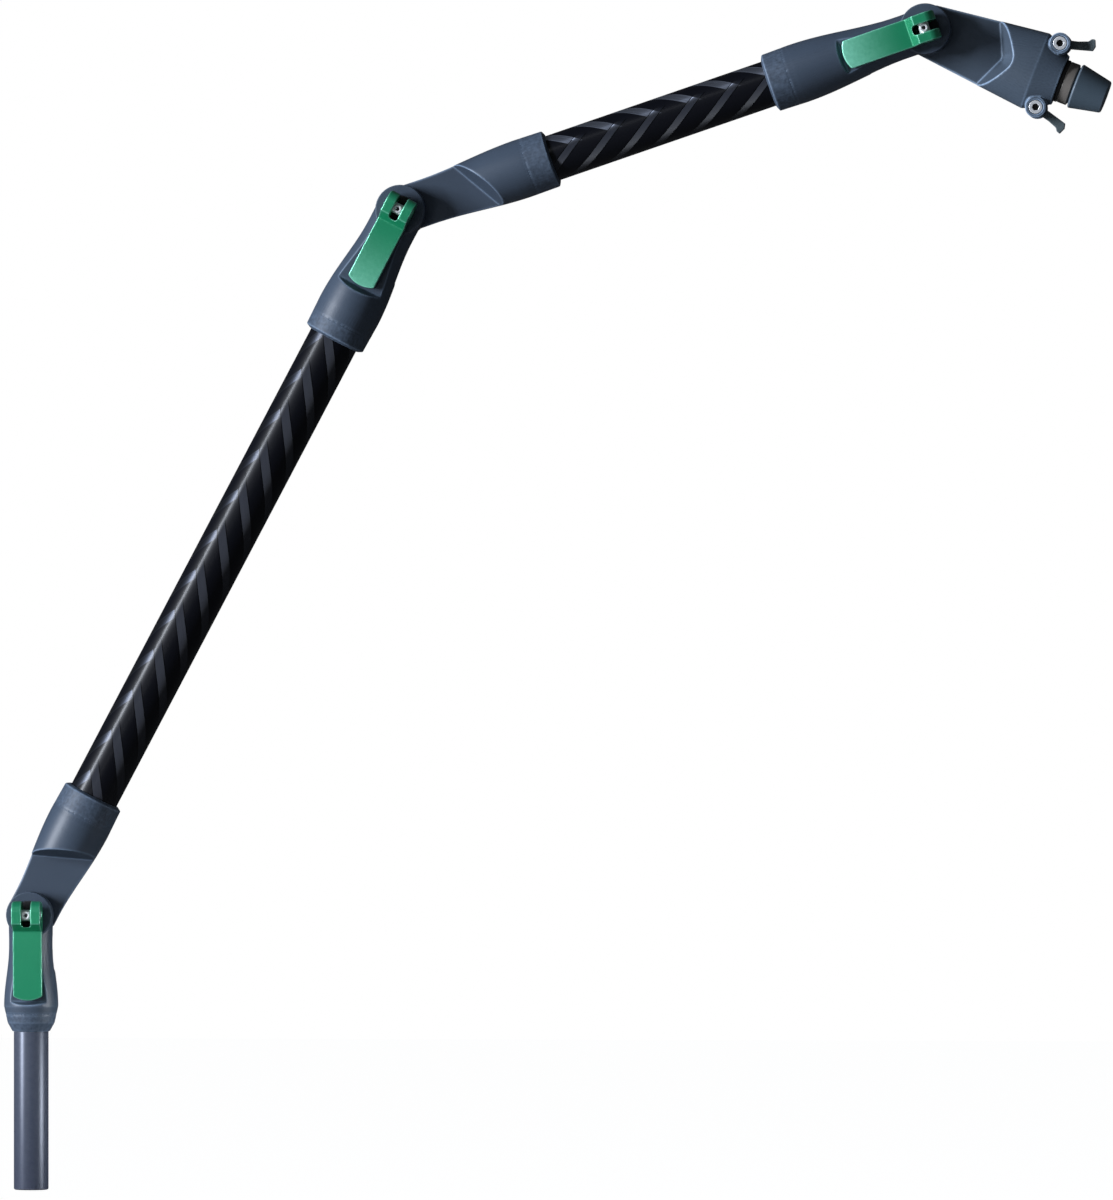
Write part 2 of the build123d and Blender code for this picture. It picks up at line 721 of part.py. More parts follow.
for number, clamp in enumerate((base_down, long_down, short_down), start=1):
    save(cam_lever(clamp), f"cam_lever_{number}")
    save(barrel_pin(clamp), f"barrel_pin_{number}")
    save(clamp_stud(clamp), f"clamp_stud_{number}")
    save(cam_saddle(clamp), f"cam_saddle_{number}")
    save(nut_washer(clamp), f"nut_washer_{number}")
    save(clamp_nut(clamp), f"clamp_nut_{number}")
    save(release_spring(clamp), f"release_spring_{number}")

save(head_housing(head_up), "head_housing")
save(cone_spigot(head_up), "cone_spigot")
save(neck_collar(head_up, head_length, seal_length, seal_radius), "neck_seal")
save(neck_collar(head_up, head_length + seal_length, ring_length, ring_radius), "neck_ring")

for place, hand in hands.items():
    save(latch_claw(head_up, hand), f"latch_claw_{place}")
    save(latch_screw(head_up, hand), f"latch_screw_{place}")
    save(latch_nut(head_up, hand), f"latch_nut_{place}")
    save(latch_spring(head_up, hand), f"latch_spring_{place}")
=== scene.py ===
# %% [markdown]
# # An articulated angle arm for a window cleaning pole
# The arm is a spigot, three clamped elbows with green cam levers, two carbon tubes and a brush
# head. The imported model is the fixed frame: every piece below is measured from it, in metres,
# so nothing has to be fitted by hand afterwards.

# %% Load the frame
import json
import math

import bmesh
import bpy
import numpy as np
from mathutils import Matrix, Vector


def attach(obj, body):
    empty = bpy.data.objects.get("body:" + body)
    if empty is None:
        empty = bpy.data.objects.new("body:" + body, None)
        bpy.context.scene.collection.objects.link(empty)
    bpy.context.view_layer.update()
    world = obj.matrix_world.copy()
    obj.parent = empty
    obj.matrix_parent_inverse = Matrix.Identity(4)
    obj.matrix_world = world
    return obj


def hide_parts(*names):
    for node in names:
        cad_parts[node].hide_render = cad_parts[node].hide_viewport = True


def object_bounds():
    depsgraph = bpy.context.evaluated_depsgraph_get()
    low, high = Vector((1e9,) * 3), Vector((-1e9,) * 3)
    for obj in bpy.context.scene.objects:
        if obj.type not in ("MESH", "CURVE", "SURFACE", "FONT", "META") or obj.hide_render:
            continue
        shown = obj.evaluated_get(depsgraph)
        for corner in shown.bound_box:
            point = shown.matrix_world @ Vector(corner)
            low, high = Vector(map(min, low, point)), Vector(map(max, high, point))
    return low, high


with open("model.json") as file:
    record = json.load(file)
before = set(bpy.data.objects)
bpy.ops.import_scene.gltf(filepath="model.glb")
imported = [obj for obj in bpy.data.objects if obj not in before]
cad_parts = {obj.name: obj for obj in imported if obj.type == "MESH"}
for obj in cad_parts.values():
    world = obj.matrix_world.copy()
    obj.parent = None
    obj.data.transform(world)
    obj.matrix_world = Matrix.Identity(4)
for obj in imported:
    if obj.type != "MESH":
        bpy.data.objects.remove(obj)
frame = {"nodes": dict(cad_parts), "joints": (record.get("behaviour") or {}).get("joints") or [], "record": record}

MM = 0.001
CLOSE_TO = 0.01 * MM      # places nearer than this count as the same
scene = bpy.context.scene
cad_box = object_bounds()
body_of = {node: body for body, nodes in frame["record"]["behaviour"]["bodies"].items() for node in nodes}
print("CAD box", [round(c, 4) for c in cad_box[0]], [round(c, 4) for c in cad_box[1]])

# %% [markdown]
# Each arm leaves an elbow in its own direction. A matrix for each arm turns its own directions
# (x across the arm, y towards the levers' side, z along the arm) into the shared frame, so a
# turned piece can be modelled upright and then moved into place. The elbows' places come from
# the joints.

# %% The arms' own directions
joint = {row["name"]: row for row in frame["joints"]}
elbow = [Vector(joint[f"elbow_{number}"]["pos_m"]) for number in (1, 2, 3)]
LEVER_SIDE = Vector((0, -1, 0))


def arm_matrix(origin, along):
    """The place and the directions of an arm that leaves origin."""
    along = along.normalized()
    across = LEVER_SIDE.cross(along)
    turn = Matrix((across, LEVER_SIDE, along)).transposed().to_4x4()
    return Matrix.Translation(origin) @ turn


spigot_up = arm_matrix(Vector((0, 0, 0)), Vector((0, 0, 1)))
long_up = arm_matrix(elbow[0], elbow[1] - elbow[0])
short_up = arm_matrix(elbow[1], elbow[2] - elbow[1])


def reach(node, arm):
    """A CAD node's lowest and highest corner in an arm's own directions."""
    inverse = arm.inverted()
    corners = np.array([inverse @ vertex.co for vertex in frame["nodes"][node].data.vertices])
    return Vector(corners.min(0)), Vector(corners.max(0))


def radii_at(node, arm, height):
    """A turned CAD node's bore and outer radius at one height along its arm."""
    inverse = arm.inverted()
    corners = [inverse @ vertex.co for vertex in frame["nodes"][node].data.vertices]
    across = [math.hypot(place.x, place.y) for place in corners if abs(place.z - height) < CLOSE_TO]
    return min(across), max(across)


print("long tube's far corner", [round(c, 4) for c in reach("long_tube", long_up)[1]])

# %% [markdown]
# ## Camera
# The arm is seen almost square on, from slightly to the right, through a long lens from far
# away, so that its three elbows keep the same size. A long lens could also be an orthographic
# camera, but then the near and the far end would look drawn rather than seen.

# %% Camera
VIEW_TURN = math.radians(5)
VIEW_DISTANCE = 8.0
VIEW_CENTRE = Vector((0.3346, 0, 0.3741))
VIEW_HEIGHT = 0.7587
look = Vector((-math.sin(VIEW_TURN), math.cos(VIEW_TURN), 0))
lens = bpy.data.cameras.new("long_lens")
lens.sensor_fit = "VERTICAL"
lens.sensor_height = 24
lens.lens = lens.sensor_height * VIEW_DISTANCE / VIEW_HEIGHT
lens.clip_end = 100
camera = bpy.data.objects.new("camera", lens)
camera.location = VIEW_CENTRE - look * VIEW_DISTANCE
camera.rotation_euler = look.to_track_quat("-Z", "Y").to_euler()
scene.collection.objects.link(camera)
scene.camera = camera

# %% [markdown]
# ## Studio
# The arm stands in a white room, but a white room on every side would wash out its dark nylon.
# So the sky and the floor are white only where they are looked at, and lend the arm a dimmer,
# bluish light. A tall narrow panel stands far to the left: it throws the shadow of every step to
# the right and draws the line on the long tube. A weak light in front shows the levers' curved
# tips, a dim one above gives the short tube its sheen, and a small card close to the right draws
# the bright band on the spigot. The spigot normally hangs in a pole, so the floor lies lower than
# the arm can swing.

# %% Studio
scene.view_settings.view_transform = "Standard"
AMBIENT = 0.06
AMBIENT_TINT = (0.90, 0.95, 1.0, 1)
WHITE = (1, 1, 1, 1)


def link_white_room(tree, dim_shader, white_shader, sink):
    """Send white_shader where the camera looks, and dim_shader everywhere else."""
    seen = tree.nodes.new("ShaderNodeLightPath")
    choose = tree.nodes.new("ShaderNodeMixShader")
    tree.links.new(seen.outputs["Is Camera Ray"], choose.inputs[0])
    tree.links.new(dim_shader, choose.inputs[1])
    tree.links.new(white_shader, choose.inputs[2])
    tree.links.new(choose.outputs[0], sink)


sky = bpy.data.worlds.new("pale_sky")
sky.use_nodes = True
dim = sky.node_tree.nodes["Background"]
dim.inputs["Color"].default_value = AMBIENT_TINT
dim.inputs["Strength"].default_value = AMBIENT
white = sky.node_tree.nodes.new("ShaderNodeBackground")
white.inputs["Color"].default_value = WHITE
link_white_room(sky.node_tree, dim.outputs[0], white.outputs[0],
                sky.node_tree.nodes["World Output"].inputs["Surface"])
scene.world = sky
print("sky lends", AMBIENT, "of its white")


# %% Lights
def soft_light(name, place, aim, size, power, tint=(1, 1, 1), spread=180):
    """A rectangular area light at place, turned towards aim, with a beam of spread degrees."""
    data = bpy.data.lights.new(name, "AREA")
    data.shape = "RECTANGLE"
    data.size, data.size_y = size
    data.energy = power
    data.color = tint
    data.spread = math.radians(spread)
    light = bpy.data.objects.new(name, data)
    light.location = place
    light.rotation_euler = (Vector(aim) - Vector(place)).to_track_quat("-Z", "Y").to_euler()
    scene.collection.objects.link(light)


middle = (cad_box[0] + cad_box[1]) / 2
spigot_middle = (0, 0, 0.05)
soft_light("panel", (-6.45, -4.25, 2.0), middle, size=(0.85, 3.4), power=1080, tint=(0.86, 0.91, 1.0))
soft_light("front", (-0.75, -2.4, 0.15), middle, size=(0.5, 0.4), power=2.5, tint=(0.95, 0.97, 1.0))
soft_light("sheen", (-0.3, -2.2, 2.3), middle, size=(1.2, 0.4), power=3, tint=(0.9, 0.94, 1.0))
soft_light("card", (0.7, -0.12, 0.06), spigot_middle, size=(0.40, 0.22), power=0.30,
           tint=(0.9, 0.95, 1.0), spread=28)

# %% Floor
FLOOR_HALF = 30
FLOOR_DROP = 0.95
FLOOR_GREY = (0.25, 0.25, 0.25, 1)
FLOOR_PALE = (0.8, 0.8, 0.8, 1)
FLOOR_GLOW = 0.94
FLOOR_ROUGHNESS = 0.9
floor_shape = bmesh.new()
bmesh.ops.create_grid(floor_shape, x_segments=1, y_segments=1, size=FLOOR_HALF,
                      matrix=Matrix.Translation((0, 0, -FLOOR_DROP)))
floor_mesh = bpy.data.meshes.new("floor")
floor_shape.to_mesh(floor_mesh)
floor_shape.free()
floor = bpy.data.objects.new("floor", floor_mesh)
scene.collection.objects.link(floor)
floor_finish = bpy.data.materials.new("pale_floor")
floor_finish.use_nodes = True
matt = floor_finish.node_tree.nodes["Principled BSDF"]
matt.inputs["Base Color"].default_value = FLOOR_GREY
matt.inputs["Roughness"].default_value = FLOOR_ROUGHNESS
pale = floor_finish.node_tree.nodes.new("ShaderNodeBsdfPrincipled")
pale.inputs["Base Color"].default_value = FLOOR_PALE
pale.inputs["Roughness"].default_value = FLOOR_ROUGHNESS
pale.inputs["Emission Color"].default_value = WHITE
pale.inputs["Emission Strength"].default_value = FLOOR_GLOW
link_white_room(floor_finish.node_tree, matt.outputs[0], pale.outputs[0],
                floor_finish.node_tree.nodes["Material Output"].inputs["Surface"])
floor_mesh.materials.append(floor_finish)

# %% [markdown]
# ## Shader groups
# Two effects are used by many finishes, so each is a node group with named inputs and outputs.
# The first is the fine grain of a moulded or blasted surface, with slow changes of colour. The
# second is a helical family of fibre tapes, as they lie on a wound tube.

# %% Helpers for node trees
def add_node(tree, kind, **settings):
    """A node of a kind, with its plain settings."""
    node = tree.nodes.new(kind)
    for name, value in settings.items():
        setattr(node, name, value)
    return node


def math_node(tree, operation, first, second=None, clamp=False):
    """A Math node whose inputs are numbers or sockets."""
    node = add_node(tree, "ShaderNodeMath", operation=operation, use_clamp=clamp)
    for socket, value in zip(node.inputs, (first, second)):
        if value is None:
            continue
        if isinstance(value, (int, float)):
            socket.default_value = value
        else:
            tree.links.new(value, socket)
    return node.outputs[0]


def mix_colour(tree, factor, first, second):
    """A colour Mix node: factor, first and second are values or sockets."""
    node = add_node(tree, "ShaderNodeMix", data_type="RGBA")
    for socket, value in ((node.inputs[0], factor), (node.inputs[6], first), (node.inputs[7], second)):
        if hasattr(value, "is_linked"):
            tree.links.new(value, socket)
        else:
            socket.default_value = value
    return node.outputs[2]


def noise(tree, vector, scale, detail=3.0, roughness=0.55):
    """A noise texture's value."""
    node = add_node(tree, "ShaderNodeTexNoise")
    node.inputs["Scale"].default_value = scale
    node.inputs["Detail"].default_value = detail
    node.inputs["Roughness"].default_value = roughness
    tree.links.new(vector, node.inputs["Vector"])
    return node.outputs["Fac"]


def group_frame(name, inputs, outputs):
    """An empty shader group with typed sockets, and its input and output nodes."""
    tree = bpy.data.node_groups.new(name, "ShaderNodeTree")
    kinds = {"value": "NodeSocketFloat", "colour": "NodeSocketColor", "vector": "NodeSocketVector"}
    for label, kind in inputs:
        tree.interface.new_socket(name=label, in_out="INPUT", socket_type=kinds[kind])
    for label, kind in outputs:
        tree.interface.new_socket(name=label, in_out="OUTPUT", socket_type=kinds[kind])
    return tree, tree.nodes.new("NodeGroupInput"), tree.nodes.new("NodeGroupOutput")


# %% Group: moulded grain
TONE_SCALE = 28           # slow changes of tone, per metre
PATCH_SCALE = 420         # patches of wear and of mottling, per metre
GRAIN_SHARE = 0.35        # how far the grain changes the colour
PATCH_LEVEL = 0.38        # patches below this are darker than the colour
MOTTLE_SHARE = 1.8
MOTTLE_RELIEF = 2.0
# how dark the painted shade inside a socket is
SOCKET_SHADE = 0.95
# the edge colour is mixed in patches: partly edge wear, partly painted highlight
WEAR_AND_HIGHLIGHT_LEAST = 0.55
WEAR_AND_HIGHLIGHT_PATCHES = 0.8
TONE_ROUGHNESS = 0.35
BAND_ROUGHNESS = 0.12


def grain_group():
    """Fine grain with slow tone changes, mottled on a band, lighter on edges by wear and painted highlight, with
    painted shade in sockets.
    """
    tree, source, sink = group_frame(
        "moulded_grain",
        [("Vector", "vector"), ("Colour", "colour"), ("Edge Colour", "colour"), ("Edge", "value"),
         ("Band", "value"), ("Sunk", "value"), ("Grain Scale", "value"), ("Tone Change", "value"),
         ("Roughness", "value")],
        [("Colour", "colour"), ("Roughness", "value"), ("Height", "value")])
    slow = noise(tree, source.outputs["Vector"], TONE_SCALE, 2)
    patches = noise(tree, source.outputs["Vector"], PATCH_SCALE, 3)
    fine = add_node(tree, "ShaderNodeTexNoise")
    fine.inputs["Detail"].default_value = 4
    fine.inputs["Roughness"].default_value = 0.7
    tree.links.new(source.outputs["Vector"], fine.inputs["Vector"])
    tree.links.new(source.outputs["Grain Scale"], fine.inputs["Scale"])
    tone = math_node(tree, "MULTIPLY", math_node(tree, "SUBTRACT", slow, 0.5), source.outputs["Tone Change"])
    grain = math_node(tree, "MULTIPLY", math_node(tree, "SUBTRACT", fine.outputs["Fac"], 0.5), GRAIN_SHARE)
    mottle = math_node(tree, "MULTIPLY", math_node(tree, "SUBTRACT", patches, PATCH_LEVEL),
                       source.outputs["Band"])
    bright = math_node(tree, "ADD", math_node(tree, "ADD", 1.0, math_node(tree, "ADD", tone, grain)),
                       math_node(tree, "MULTIPLY", mottle, MOTTLE_SHARE))
    shadow = math_node(tree, "MULTIPLY", source.outputs["Sunk"], SOCKET_SHADE)
    lit = math_node(tree, "MULTIPLY", bright, math_node(tree, "SUBTRACT", 1.0, shadow))
    shade = add_node(tree, "ShaderNodeVectorMath", operation="SCALE")
    tree.links.new(source.outputs["Colour"], shade.inputs[0])
    tree.links.new(lit, shade.inputs["Scale"])
    worn_and_lit_edge = math_node(tree, "MULTIPLY", source.outputs["Edge"],
                     math_node(tree, "ADD", WEAR_AND_HIGHLIGHT_LEAST, math_node(tree, "MULTIPLY", patches, WEAR_AND_HIGHLIGHT_PATCHES)),
                     True)
    tree.links.new(mix_colour(tree, worn_and_lit_edge, shade.outputs[0], source.outputs["Edge Colour"]),
                   sink.inputs["Colour"])
    rough = math_node(tree, "ADD", source.outputs["Roughness"],
                      math_node(tree, "MULTIPLY", tone, TONE_ROUGHNESS), True)
    dull = math_node(tree, "ADD", rough,
                     math_node(tree, "MULTIPLY", source.outputs["Band"], BAND_ROUGHNESS), True)
    tree.links.new(dull, sink.inputs["Roughness"])
    relief = math_node(tree, "ADD", fine.outputs["Fac"], math_node(tree, "MULTIPLY", mottle, MOTTLE_RELIEF))
    tree.links.new(relief, sink.inputs["Height"])
    return tree


GRAIN = grain_group()


# %% Group: helical fibre tapes
TAPE_EDGE = 0.03          # a tape's soft edge, as a share of the pitch
FIBRES_ALONG = 22.0       # changes along the fibres, per metre


def tape_group():
    """One family of tapes on a tube whose U runs once round it and whose V is metres along it."""
    tree, source, sink = group_frame(
        "fibre_tape",
        [("U", "value"), ("V", "value"), ("Tapes Round", "value"), ("Axial Pitch", "value"),
         ("Tape Share", "value"), ("Fibres", "value")],
        [("Mask", "value"), ("Fibre", "value"), ("Across", "value")])
    turns = math_node(tree, "MULTIPLY", source.outputs["U"], source.outputs["Tapes Round"])
    climb = math_node(tree, "DIVIDE", source.outputs["V"], source.outputs["Axial Pitch"])
    phase = math_node(tree, "ADD", turns, climb)
    place = math_node(tree, "FRACT", phase)
    across = math_node(tree, "SUBTRACT", place, 0.5)
    tree.links.new(across, sink.inputs["Across"])
    off_centre = math_node(tree, "ABSOLUTE", across)
    half_share = math_node(tree, "MULTIPLY", source.outputs["Tape Share"], 0.5)
    inside = math_node(tree, "DIVIDE", math_node(tree, "SUBTRACT", half_share, off_centre), TAPE_EDGE, True)
    tree.links.new(inside, sink.inputs["Mask"])
    stretched = add_node(tree, "ShaderNodeCombineXYZ")
    tree.links.new(math_node(tree, "MULTIPLY", phase, source.outputs["Fibres"]), stretched.inputs[0])
    tree.links.new(math_node(tree, "MULTIPLY", source.outputs["V"], FIBRES_ALONG), stretched.inputs[1])
    tree.links.new(noise(tree, stretched.outputs[0], 1.0, 3, 0.6), sink.inputs["Fibre"])
    return tree


TAPE = tape_group()
print("groups", [group.name for group in bpy.data.node_groups])

# %% [markdown]
# ## Finishes
# The knuckles and the head are moulded in a dark slate nylon with a fine satin grain, and their
# edges are lighter, partly by wear and partly as painted highlight. The levers are green anodised
# aluminium over a blasted surface. The tubes are wound carbon under clear lacquer. Numbers that are
# the same all over a surface are set on the shader itself.

# %% Finishes
GRAIN_RELIEF = 0.2 * MM


def grained(name, colour, edge_colour, roughness, grain_scale, bump, tone=0.3, metallic=0.0,
            coat=0.0, coat_roughness=0.3, specular=0.5):
    """A material with the moulded grain group in front of a Principled shader."""
    material = bpy.data.materials.new(name)
    material.use_nodes = True
    tree = material.node_tree
    shader = tree.nodes["Principled BSDF"]
    shader.inputs["Metallic"].default_value = metallic
    shader.inputs["Coat Weight"].default_value = coat
    shader.inputs["Coat Roughness"].default_value = coat_roughness
    shader.inputs["Specular IOR Level"].default_value = specular
    place = add_node(tree, "ShaderNodeTexCoord")
    grain = add_node(tree, "ShaderNodeGroup", node_tree=GRAIN)
    grain.inputs["Colour"].default_value = (*colour, 1)
    grain.inputs["Edge Colour"].default_value = (*edge_colour, 1)
    grain.inputs["Grain Scale"].default_value = grain_scale
    grain.inputs["Tone Change"].default_value = tone
    grain.inputs["Roughness"].default_value = roughness
    tree.links.new(place.outputs["Object"], grain.inputs["Vector"])
    for mask in ("Edge", "Band", "Sunk"):
        stored = add_node(tree, "ShaderNodeAttribute", attribute_name=mask.lower())
        tree.links.new(stored.outputs["Fac"], grain.inputs[mask])
    raised = add_node(tree, "ShaderNodeBump")
    raised.inputs["Strength"].default_value = bump
    raised.inputs["Distance"].default_value = GRAIN_RELIEF
    tree.links.new(grain.outputs["Height"], raised.inputs["Height"])
    tree.links.new(grain.outputs["Colour"], shader.inputs["Base Color"])
    tree.links.new(grain.outputs["Roughness"], shader.inputs["Roughness"])
    tree.links.new(raised.outputs["Normal"], shader.inputs["Normal"])
    return material


knuckle_nylon = grained("knuckle_nylon", (0.045, 0.063, 0.092), (0.22, 0.30, 0.42), 0.42, 2600, 0.35,
                        specular=0.35)
# the head's nylon is a lighter copy of the knuckles': painted light, lifting the head's faces that turn away from
# the panel
head_nylon_lit_copy = grained("head_nylon_lit_copy", (0.058, 0.080, 0.110), (0.26, 0.36, 0.50), 0.42, 2600, 0.35,
                     specular=0.35)
cone_nylon = grained("cone_nylon", (0.062, 0.094, 0.125), (0.26, 0.32, 0.39), 0.45, 2600, 0.35)
claw_nylon = grained("claw_nylon", (0.060, 0.085, 0.095), (0.18, 0.22, 0.24), 0.55, 1500, 0.9,
                     tone=0.6)
spigot_anodised = grained("spigot_anodised", (0.028, 0.034, 0.060), (0.3, 0.34, 0.4), 0.34, 3000, 0.05,
                          metallic=0.15, tone=0.12, specular=0.25)
green_anodised = grained("green_anodised", (0.005, 0.28, 0.125), (0.24, 0.72, 0.52), 0.34, 3200, 0.25,
                         tone=0.2, metallic=0.4, coat=0.6, coat_roughness=0.36)
zinc_steel = grained("zinc_steel", (0.80, 0.82, 0.84), (0.98, 0.98, 0.98), 0.32, 2500, 0.15,
                     metallic=0.5)
# near-black steel for the saddles under the cams: it paints the shade on the floor of each lever's slot
slot_shade_steel = grained("slot_shade_steel", (0.012, 0.012, 0.014), (0.10, 0.10, 0.11), 0.45, 2500, 0.2,
                      metallic=0.3)
black_rubber = grained("black_rubber", (0.010, 0.010, 0.012), (0.03, 0.03, 0.03), 0.75, 1500, 0.5)
grey_ring = grained("grey_ring", (0.17, 0.155, 0.14), (0.3, 0.29, 0.27), 0.45, 1200, 0.6, tone=0.8,
                    metallic=0.3)

# %% [markdown]
# The tubes are wound from tapes in two crossing directions, with almost black resin between them
# and clear lacquer over them. The tapes that run one way lie on top and look evenly grey. Where
# the tall panel shines across them they go dark, and the tapes beneath glint instead. A shader
# that follows single fibres could work that out, but it would be slow and hard to export. So this
# light and shade is painted: the side that faces the panel when the arm is at rest is marked as a
# place round the tube, in shares of a turn, and it turns with the tube. There the upper tapes are
# painted dark, and the lower ones get a painted glint, a metallic sheen. The upper family gets a
# grey colour and a normal that leans across each tape, so that it catches light.

# %% Wound carbon
LIT_SIDE = 0.09           # middle of the side where the lower tapes glint, in turns
LIT_HALF = 0.07           # half of that side's width, in turns
LIT_FADE = 0.05
TAPE_LEAN = 20 * MM       # rise from one side of a tape's pitch to the other
LOWER_SHARE = 0.36        # a lower tape's width, as a share of the pitch
FIBRES_IN_TAPE = 55
LACQUER_WEIGHT = 0.22
LACQUER_ROUGHNESS = 0.25
LACQUER_IOR = 1.5
RESIN_SPECULAR = 0.1
GLINT_METALLIC = 0.95
CARBON_ROUGHNESS = 0.5
GLINT_SMOOTHER = 0.15
RESIN = (0.0015, 0.0020, 0.0045, 1)
GLINT_LOW = (0.02, 0.022, 0.03, 1)
GREY_LOW = (0.008, 0.009, 0.013, 1)
GREY_HIGH = (0.024, 0.027, 0.036, 1)


def wound_carbon(name, tapes_round, axial_pitch, top_share, gleam):
    """Two crossing helical families of fibre tapes, under clear lacquer, with a painted glint on the side marked
    as lit.
    """
    material = bpy.data.materials.new(name)
    material.use_nodes = True
    tree = material.node_tree
    shader = tree.nodes["Principled BSDF"]
    shader.inputs["Coat Weight"].default_value = LACQUER_WEIGHT
    shader.inputs["Coat Roughness"].default_value = LACQUER_ROUGHNESS
    shader.inputs["Coat IOR"].default_value = LACQUER_IOR
    shader.inputs["Specular IOR Level"].default_value = RESIN_SPECULAR
    place = add_node(tree, "ShaderNodeUVMap", uv_map="wrap")
    split = add_node(tree, "ShaderNodeSeparateXYZ")
    tree.links.new(place.outputs["UV"], split.inputs[0])
    # the side marked as lit, where the tapes' light and shade is painted
    off_lit = math_node(tree, "ABSOLUTE", math_node(tree, "SUBTRACT", split.outputs[0], LIT_SIDE))
    shaded = math_node(tree, "DIVIDE", math_node(tree, "SUBTRACT", off_lit, LIT_HALF), LIT_FADE, True)
    families = []
    for side, share in ((1, top_share), (-1, LOWER_SHARE)):
        tape = add_node(tree, "ShaderNodeGroup", node_tree=TAPE)
        tree.links.new(split.outputs[0], tape.inputs["U"])
        tree.links.new(split.outputs[1], tape.inputs["V"])
        tape.inputs["Tapes Round"].default_value = side * tapes_round
        tape.inputs["Axial Pitch"].default_value = axial_pitch
        tape.inputs["Tape Share"].default_value = share
        tape.inputs["Fibres"].default_value = FIBRES_IN_TAPE
        families.append(tape)
    top, beneath = families
    glint_high = (0.90 * gleam, gleam, 1.25 * gleam, 1)
    glint = mix_colour(tree, beneath.outputs["Fibre"], GLINT_LOW, glint_high)
    grey = mix_colour(tree, top.outputs["Fibre"], GREY_LOW, GREY_HIGH)
    clear = math_node(tree, "MULTIPLY", top.outputs["Mask"], shaded)
    glinting = math_node(tree, "MULTIPLY", beneath.outputs["Mask"],
                         math_node(tree, "SUBTRACT", 1.0, shaded))
    lower = mix_colour(tree, glinting, RESIN, glint)
    tree.links.new(mix_colour(tree, clear, lower, grey), shader.inputs["Base Color"])
    tree.links.new(math_node(tree, "MULTIPLY", glinting, GLINT_METALLIC), shader.inputs["Metallic"])
    smoother = math_node(tree, "MULTIPLY", glinting, GLINT_SMOOTHER)
    tree.links.new(math_node(tree, "SUBTRACT", CARBON_ROUGHNESS, smoother), shader.inputs["Roughness"])
    lean = math_node(tree, "MULTIPLY", top.outputs["Across"], clear)
    raised = add_node(tree, "ShaderNodeBump")
    raised.inputs["Strength"].default_value = 1.0
    raised.inputs["Distance"].default_value = TAPE_LEAN
    tree.links.new(lean, raised.inputs["Height"])
    tree.links.new(raised.outputs["Normal"], shader.inputs["Normal"])
    return material


# %% [markdown]
# ## Making a piece
# Every new piece is a mesh whose place is in its vertices. It rides on the body of the CAD node
# that it stands for, and hides that node.

# %% Helpers for pieces
WELD = 0.002 * MM
SHARP_TURN = 0.35         # edges of a turned shape that bend by more, in radians, are broken
EDGE_BREAK = 0.35 * MM


def as_object(name, shape):
    """A smooth-shaded object at the origin from a bmesh, which is freed."""
    mesh = bpy.data.meshes.new(name)
    shape.to_mesh(mesh)
    shape.free()
    piece = bpy.data.objects.new(name, mesh)
    scene.collection.objects.link(piece)
    mesh.shade_smooth()
    return piece


def stand_for(piece, node, material):
    """The piece takes a CAD node's place, body and material slot."""
    piece.data.materials.clear()
    piece.data.materials.append(material)
    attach(piece, body_of[node])
    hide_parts(node)


def store_mask(mesh, name, values):
    """Store one number for each vertex, for a material to read."""
    layer = mesh.attributes.new(name, "FLOAT", "POINT")
    layer.data.foreach_set("value", np.clip(values, 0, 1).astype(np.float32))


def vertex_places(mesh):
    """The places of a mesh's vertices, one row each."""
    places = np.zeros(len(mesh.vertices) * 3, np.float32)
    mesh.vertices.foreach_get("co", places)
    return places.reshape(-1, 3)


def mark_edges(mesh, strength, hollow_share=0.0, lift=0.0):
    """Store how sharply the surface bends at each vertex, as the mask edge.

    Ridges count in full, and inside corners count by hollow_share. The strength is one number,
    or one for each vertex, and lift is painted highlight that is added even where the surface is flat.
    """
    places = vertex_places(mesh)
    normals = np.zeros(places.size, np.float32)
    mesh.vertex_normals.foreach_get("vector", normals)
    normals = normals.reshape(-1, 3)
    ends = np.zeros(len(mesh.edges) * 2, np.int32)
    mesh.edges.foreach_get("vertices", ends)
    ends = ends.reshape(-1, 2)
    turn = np.zeros(len(places), np.float32)
    links = np.zeros(len(places), np.float32)
    for here, there in ((0, 1), (1, 0)):
        gap = places[ends[:, there]] - places[ends[:, here]]
        length = np.linalg.norm(gap, axis=1) + 1e-9
        fall = -np.einsum("ij,ij->i", gap, normals[ends[:, here]]) / (length * length)
        np.add.at(turn, ends[:, here], fall)
        np.add.at(links, ends[:, here], 1)
    turn = turn / np.maximum(links, 1)
    # the edge mask lightens the colour: partly wear on ridges, partly painted highlight on ridges and in inside
    # corners
    store_mask(mesh, "edge", np.where(turn > 0, turn, -turn * hollow_share) * strength + lift)


def moulded(node, grain, passes):
    """A CAD node's shape with its edges rounded over, as a mould or a tumbler leaves them."""
    shape = bmesh.new()
    shape.from_mesh(frame["nodes"][node].data)
    bmesh.ops.remove_doubles(shape, verts=shape.verts, dist=WELD)
    piece = as_object(node + "_finished", shape)
    skin = piece.modifiers.new("even_skin", "REMESH")
    skin.mode = "VOXEL"
    skin.voxel_size = grain
    relax = piece.modifiers.new("rounded_edges", "SMOOTH")
    relax.factor = 0.5
    relax.iterations = passes
    finished = bpy.data.meshes.new_from_object(piece.evaluated_get(bpy.context.evaluated_depsgraph_get()))
    piece.modifiers.clear()
    piece.data = finished
    finished.shade_smooth()
    print(node, len(finished.polygons), "faces")
    return piece


